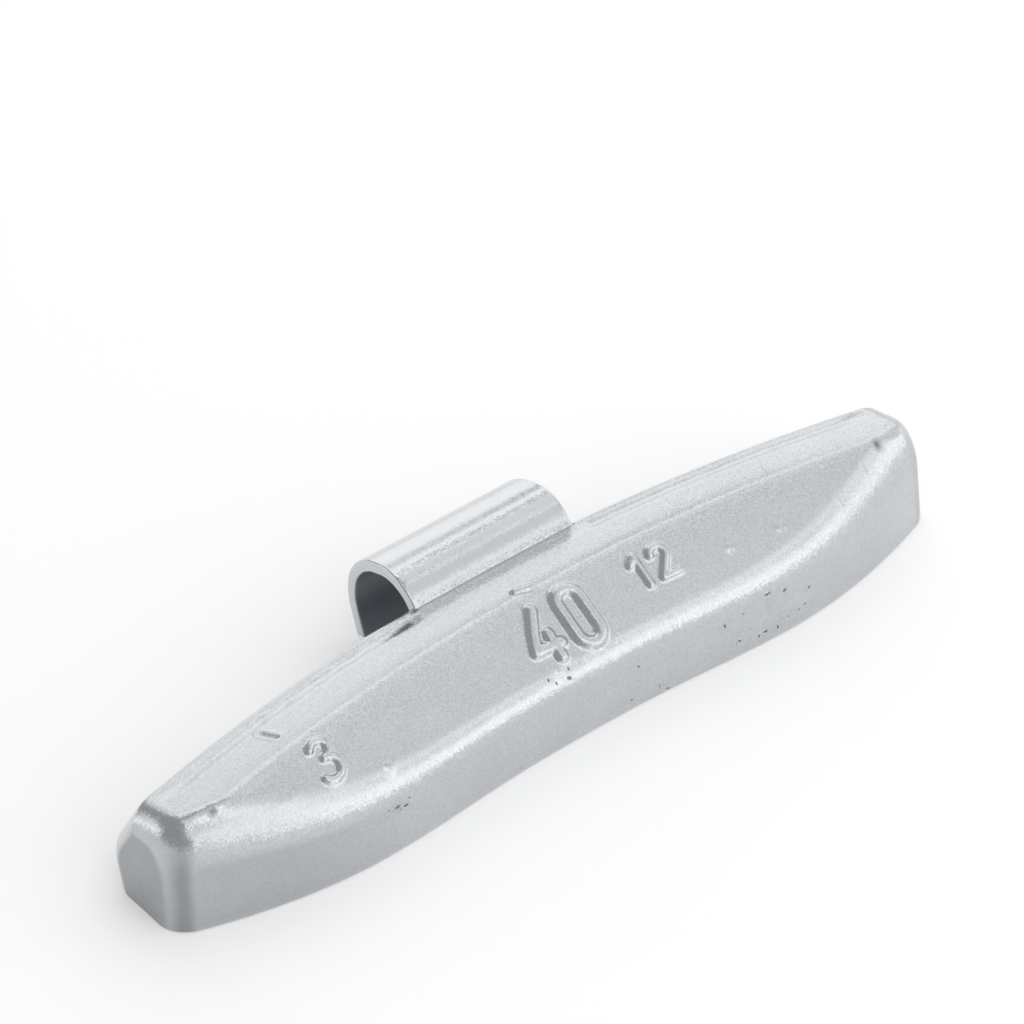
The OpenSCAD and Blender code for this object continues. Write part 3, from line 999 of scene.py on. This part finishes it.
def white_floor():
    """White paint that keeps the part's shadow. To the camera and in mirrors it is lifted
    by a little glow, which sends no light to anything else."""
    finish = Finish("white_floor")
    place = finish.add("ShaderNodeTexCoord").output("Object")
    patch = noise(finish, place, 0.05)
    shade = finish.mix(patch, (0.86, 0.86, 0.86), (0.88, 0.88, 0.88))
    matt = finish.add("ShaderNodeBsdfDiffuse", None, {"Color": shade})
    ray = finish.add("ShaderNodeLightPath")
    seen = ray.output("Is Camera Ray") + ray.output("Is Glossy Ray")
    seen = seen + ray.output("Is Transmission Ray")
    glow_sockets = {"Color": (1, 1, 1, 1), "Strength": seen * FLOOR_GLOW}
    glow = finish.add("ShaderNodeEmission", None, glow_sockets)
    both = finish.add("ShaderNodeAddShader", None, {0: matt, 1: glow})
    finish.add("ShaderNodeOutputMaterial", None, {"Surface": both})
    return finish.material


def flat_floor(half_width):
    """A square of four corners at the height of the part's flat back."""
    corners = np.array([(-1, -1, 0), (1, -1, 0), (1, 1, 0), (-1, 1, 0)]) * half_width
    mesh = bpy.data.meshes.new("floor")
    mesh.from_pydata(corners.tolist(), [], [(0, 1, 2, 3)])
    mesh.materials.append(white_floor())
    piece = bpy.data.objects.new("floor", mesh)
    bpy.context.scene.collection.objects.link(piece)
    return piece


floor = flat_floor(FLOOR_HALF)

# %% The room, at one even level
ROOM_LEVEL = 0.45
world = bpy.data.worlds.new("light_room")
bpy.context.scene.world = world
world.use_nodes = True
world.node_tree.nodes.clear()
nodes, links = world.node_tree.nodes, world.node_tree.links
room = nodes.new("ShaderNodeBackground")
room.inputs["Color"].default_value = (0.98, 0.99, 1.0, 1)
room.inputs["Strength"].default_value = ROOM_LEVEL
links.new(room.outputs[0], nodes.new("ShaderNodeOutputWorld").inputs["Surface"])

# %% The panels
# The elevation of each row, and the azimuth and watts of each panel in it. Azimuth counts
# from the near side towards the right.
PANELS = {
    8: [
        (0, 0.26), (30, 0.32), (60, 0.31), (90, 0.21), (120, 0.14), (150, 0.23), (-150, 0.2),
        (-125, 0.3),
    ],
    32: [(-18, 0.16), (18, 0.25), (54, 0.22), (90, 0.14), (126, 0.23), (162, 0.17)],
    56: [(0, 0.31), (51, 0.13), (103, 0.16), (154, 0.25)],
    82: [(0, 0.15)],
}
PANEL_AWAY, PANEL_WIDE, PANEL_HIGH = 0.6, 0.3, 0.26


def soft_panel(azimuth, elevation, power):
    """A lamp on a sphere round the part: its place is the distance times the cosines and
    sines of both angles, and it faces the middle of the part."""
    level = cosine(elevation)
    step = Vector((sine(azimuth) * level, -cosine(azimuth) * level, sine(elevation)))
    name = f"panel_{elevation}_{azimuth}"
    lamp = bpy.data.lights.new(name, "AREA")
    lamp.shape, lamp.energy = "RECTANGLE", power
    lamp.size, lamp.size_y = PANEL_WIDE, PANEL_HIGH
    piece = bpy.data.objects.new(name, lamp)
    facing = step.to_track_quat("Z", "Y").to_matrix().to_4x4()
    piece.matrix_world = Matrix.Translation(step * PANEL_AWAY) @ facing
    bpy.context.scene.collection.objects.link(piece)


for elevation, row in PANELS.items():
    for azimuth, power in row:
        soft_panel(azimuth, elevation, power)
print(sum(map(len, PANELS.values())), "soft panels")

# %% [markdown]
# ## The camera
#
# The camera looks down on the part from its left-hand near side. Its three axes come from
# two angles, and its place from the distance at which the part fills the picture as in the
# photograph, with a long lens that keeps parallel edges nearly parallel.

# %% The camera
# The angles in degrees by which it is turned off square and tilted down. Then, all in
# millimetres, the middle of the bar, the camera's distance from it, how far that middle
# lies off the centre of the picture across and up, and the lens and the sensor's width.
TURN, TILT = 39.56, 40.54
BAR_MIDDLE, VIEW_DISTANCE = Vector((0, -1.434, 3.31)), 383.71
OFF_ACROSS, OFF_UP = 2.005, -10.178
LENS, SENSOR = 197.69, 36

right = Vector((cosine(TURN), -sine(TURN), 0))
up = Vector((sine(TURN) * sine(TILT), cosine(TURN) * sine(TILT), cosine(TILT)))
forward = up.cross(right)
camera_data = bpy.data.cameras.new("camera")
camera_data.sensor_width, camera_data.lens = SENSOR, LENS
camera_data.clip_start, camera_data.clip_end = 0.01, 10
camera = bpy.data.objects.new("camera", camera_data)
place = BAR_MIDDLE - OFF_ACROSS * right - OFF_UP * up - VIEW_DISTANCE * forward
axes = Matrix((right, up, -forward)).transposed().to_4x4()
camera.matrix_world = Matrix.Translation(place * MM) @ axes
bpy.context.scene.collection.objects.link(camera)
bpy.context.scene.camera = camera
print("camera", round(place.length), "mm from the part, lens", round(LENS), "mm")

# %% Set the view transform and finish
bpy.context.scene.view_settings.view_transform = "Standard"
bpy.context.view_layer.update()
